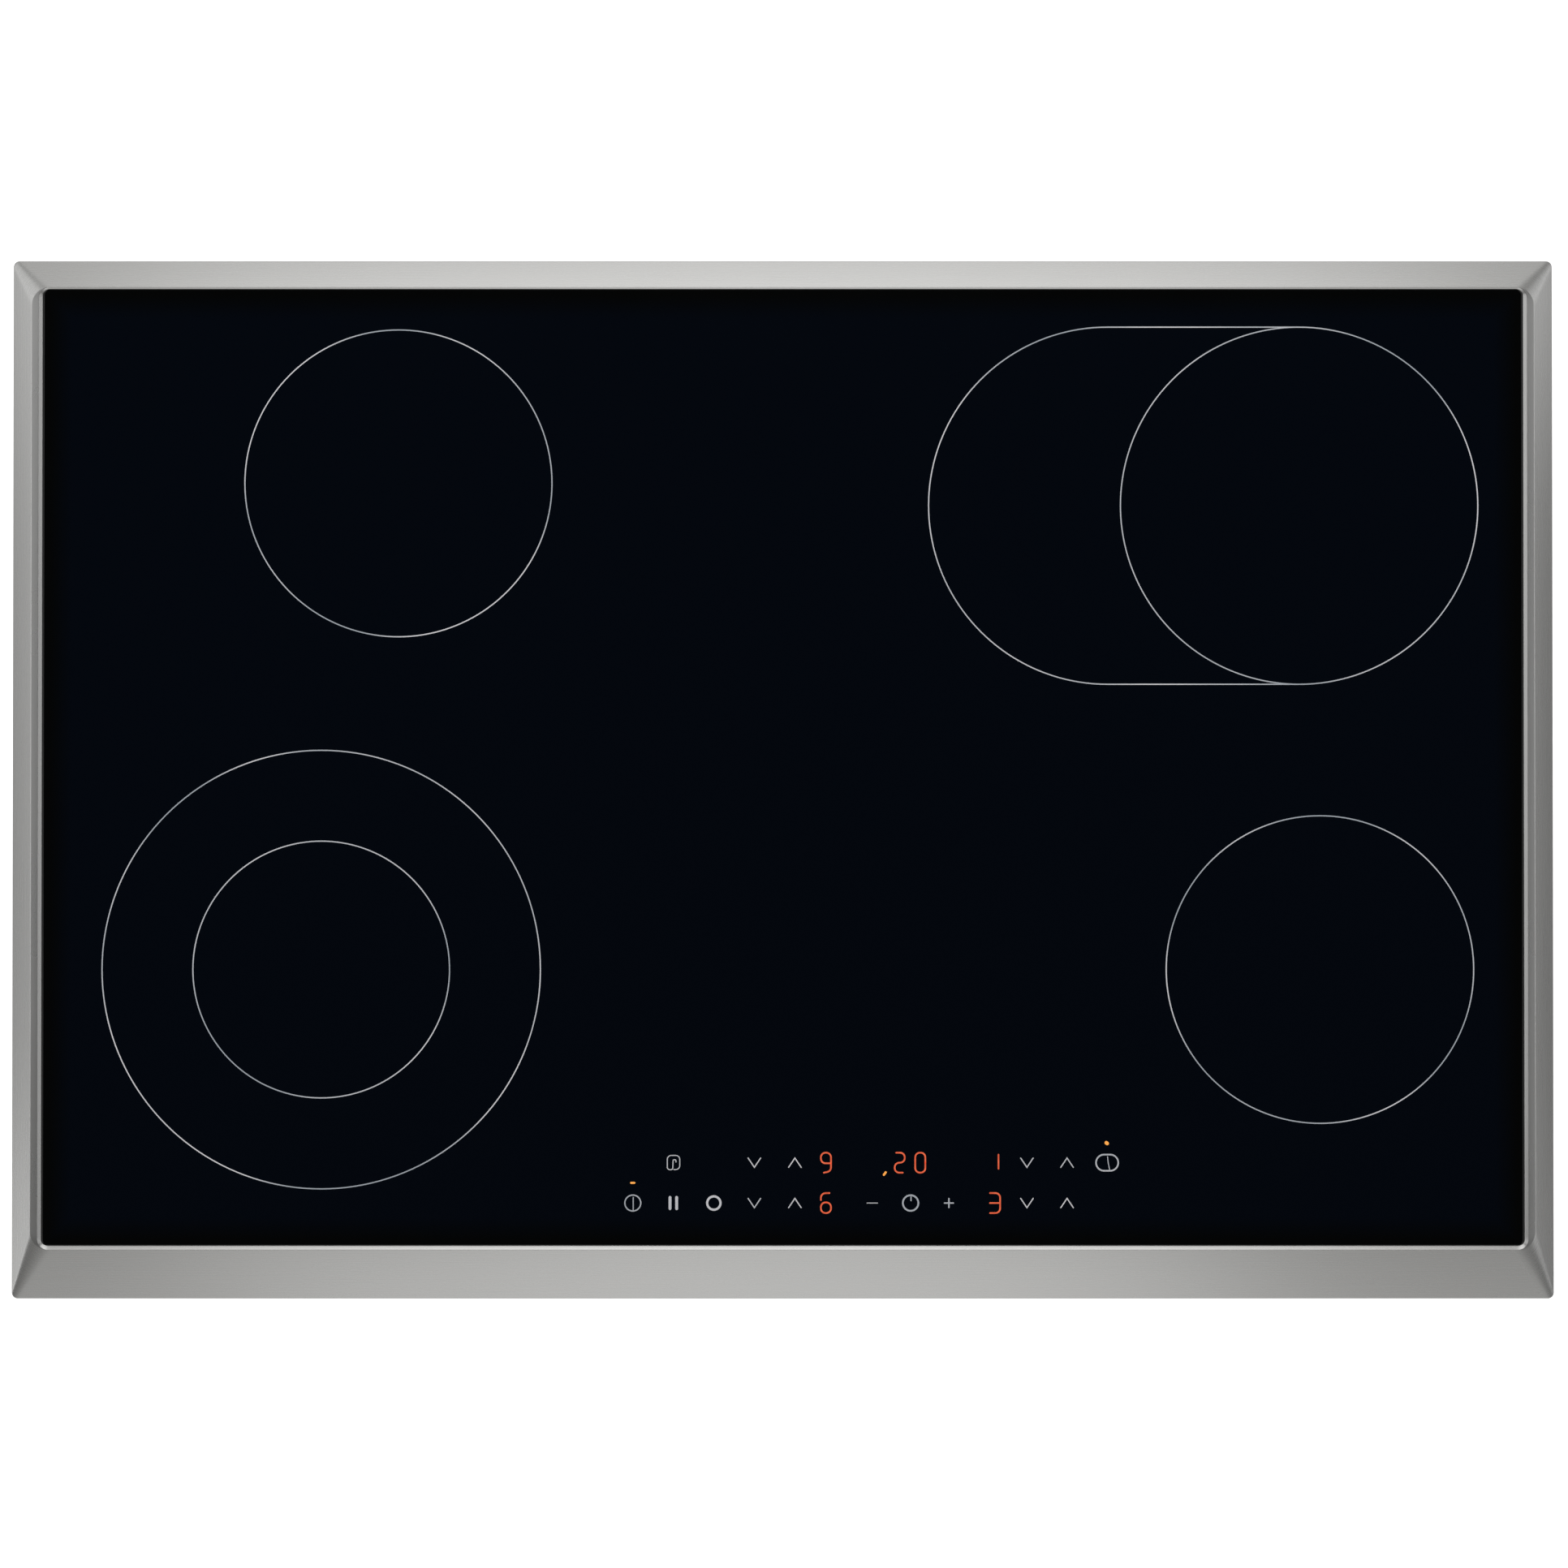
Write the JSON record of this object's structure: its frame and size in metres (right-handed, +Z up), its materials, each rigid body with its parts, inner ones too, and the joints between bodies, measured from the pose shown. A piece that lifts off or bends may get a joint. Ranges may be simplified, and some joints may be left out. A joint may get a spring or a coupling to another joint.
{
  "type": "electric glass-ceramic cooktop",
  "caption": "Flat black glass-ceramic cooktop in a bevelled steel frame, with radiant zones, touch keys, an underside tray and swivelling worktop clamps.",
  "frame": {"origin": "middle of the trim frame's outline, on the worktop's surface (underside of the gasket)", "axes": "+X to the cook's right, +Y to the back, +Z up out of the worktop"},
  "size_m": [0.766, 0.516, 0.0446],
  "materials": {
    "stainless_trim": "fine brushed stainless steel",
    "ceramic_glass": "polished black glass-ceramic",
    "silicone_sealant": "matt black silicone",
    "foam_gasket": "dark grey foam strip",
    "galvanised_sheet": "galvanised sheet",
    "zinc_plated_steel": "zinc-plated",
    "spring_steel": "tempered strip",
    "aluminised_sheet": "aluminised pressed sheet",
    "fibre_insulation": "pressed mineral fibre",
    "heating_ribbon": "oxidised heating alloy",
    "quartz_tube": "clear quartz tube",
    "steatite": "unglazed steatite",
    "circuit_board": "solder-masked laminate",
    "grey_plastic": "moulded, fine texture",
    "display_plastic": "dark filter window",
    "clear_plastic": "tinted light guide",
    "sensor_foam": "conductive foam",
    "relay_plastic": "moulded case",
    "transformer_core": "varnished laminations",
    "terminal_brass": "plain brass",
    "black_plastic": "moulded, fine texture",
    "white_plastic": "moulded",
    "wire_sleeve": "glass-fibre sleeve",
    "screen_print": "fired grey screen print",
    "digit_light": "lit red segments seen through the glass",
    "lamp_light": "lit orange lamps seen through the glass"
  },
  "bodies": {
    "root": {"bottom_tray": "galvanised_sheet", "cable_gland": "black_plastic", "clamp_nuts": "zinc_plated_steel", "control_board": "circuit_board", "control_housing": "grey_plastic", "control_springs": "spring_steel", "cord_clamp": "black_plastic", "cord_clamp_screws": "zinc_plated_steel", "digit_displays": "display_plastic", "glass_panel": "ceramic_glass", "glass_sealant": "silicone_sealant", "heater_dish_front_left": "aluminised_sheet", "heater_dish_front_right": "aluminised_sheet", "heater_dish_rear_left": "aluminised_sheet", "heater_dish_rear_right": "aluminised_sheet", "heater_springs": "spring_steel", "heater_tabs": "spring_steel", "insulation_base_front_left": "fibre_insulation", "insulation_base_front_right": "fibre_insulation", "insulation_base_rear_left": "fibre_insulation", "insulation_base_rear_right": "fibre_insulation", "insulation_wall_front_left": "fibre_insulation", "insulation_wall_front_right": "fibre_insulation", "insulation_wall_rear_left": "fibre_insulation", "insulation_wall_rear_right": "fibre_insulation", "lamp_guides": "clear_plastic", "limiter_head_front_left": "steatite", "limiter_head_front_right": "steatite", "limiter_head_rear_left": "steatite", "limiter_head_rear_right": "steatite", "limiter_tube_front_left": "quartz_tube", "limiter_tube_front_right": "quartz_tube", "limiter_tube_rear_left": "quartz_tube", "limiter_tube_rear_right": "quartz_tube", "power_relays": "relay_plastic", "ribbon_front_left_inner": "heating_ribbon", "ribbon_front_left_outer": "heating_ribbon", "ribbon_front_right": "heating_ribbon", "ribbon_rear_left": "heating_ribbon", "ribbon_rear_right_extension": "heating_ribbon", "ribbon_rear_right_main": "heating_ribbon", "terminal_block": "white_plastic", "terminal_box": "black_plastic", "terminal_contacts": "terminal_brass", "terminal_screws": "zinc_plated_steel", "touch_sensor_pads": "sensor_foam", "transformer": "transformer_core", "tray_screws": "zinc_plated_steel", "trim_frame": "stainless_trim", "wiring_looms": "wire_sleeve", "worktop_gasket": "foam_gasket"},
    "clamp_front_left": {"clamp_front_left": "zinc_plated_steel"},
    "clamp_rear_left": {"clamp_rear_left": "zinc_plated_steel"},
    "clamp_front_right": {"clamp_front_right": "zinc_plated_steel"},
    "clamp_rear_right": {"clamp_rear_right": "zinc_plated_steel"},
    "clamp_screw_front_left": {"clamp_screw_front_left": "zinc_plated_steel"},
    "clamp_screw_rear_left": {"clamp_screw_rear_left": "zinc_plated_steel"},
    "clamp_screw_front_right": {"clamp_screw_front_right": "zinc_plated_steel"},
    "clamp_screw_rear_right": {"clamp_screw_rear_right": "zinc_plated_steel"},
    "terminal_cover": {"terminal_cover": "black_plastic"}
  },
  "joints": [
    {"name": "clamp_screw_front_left_travel", "type": "slide", "parent": "root", "child": "clamp_screw_front_left", "axis": [0, 0, 1], "range_m": [-0.012, 0]},
    {"name": "clamp_front_left_swivel", "type": "hinge", "parent": "clamp_screw_front_left", "child": "clamp_front_left", "pos_m": [-0.346, -0.204, -0.0305], "axis": [0, 0, 1], "range_deg": [0, 90]},
    {"name": "clamp_screw_rear_left_travel", "type": "slide", "parent": "root", "child": "clamp_screw_rear_left", "axis": [0, 0, 1], "range_m": [-0.012, 0]},
    {"name": "clamp_rear_left_swivel", "type": "hinge", "parent": "clamp_screw_rear_left", "child": "clamp_rear_left", "pos_m": [-0.346, 0.216, -0.0305], "axis": [0, 0, 1], "range_deg": [-90, 0]},
    {"name": "clamp_screw_front_right_travel", "type": "slide", "parent": "root", "child": "clamp_screw_front_right", "axis": [0, 0, 1], "range_m": [-0.012, 0]},
    {"name": "clamp_front_right_swivel", "type": "hinge", "parent": "clamp_screw_front_right", "child": "clamp_front_right", "pos_m": [0.346, -0.204, -0.0305], "axis": [0, 0, 1], "range_deg": [-90, 0]},
    {"name": "clamp_screw_rear_right_travel", "type": "slide", "parent": "root", "child": "clamp_screw_rear_right", "axis": [0, 0, 1], "range_m": [-0.012, 0]},
    {"name": "clamp_rear_right_swivel", "type": "hinge", "parent": "clamp_screw_rear_right", "child": "clamp_rear_right", "pos_m": [0.346, 0.216, -0.0305], "axis": [0, 0, 1], "range_deg": [0, 90]},
    {"name": "terminal_cover_hinge", "type": "hinge", "parent": "root", "child": "terminal_cover", "pos_m": [-0.02, 0.1759, -0.0357], "axis": [-1, 0, 0], "range_deg": [0, 90]}
  ]
}
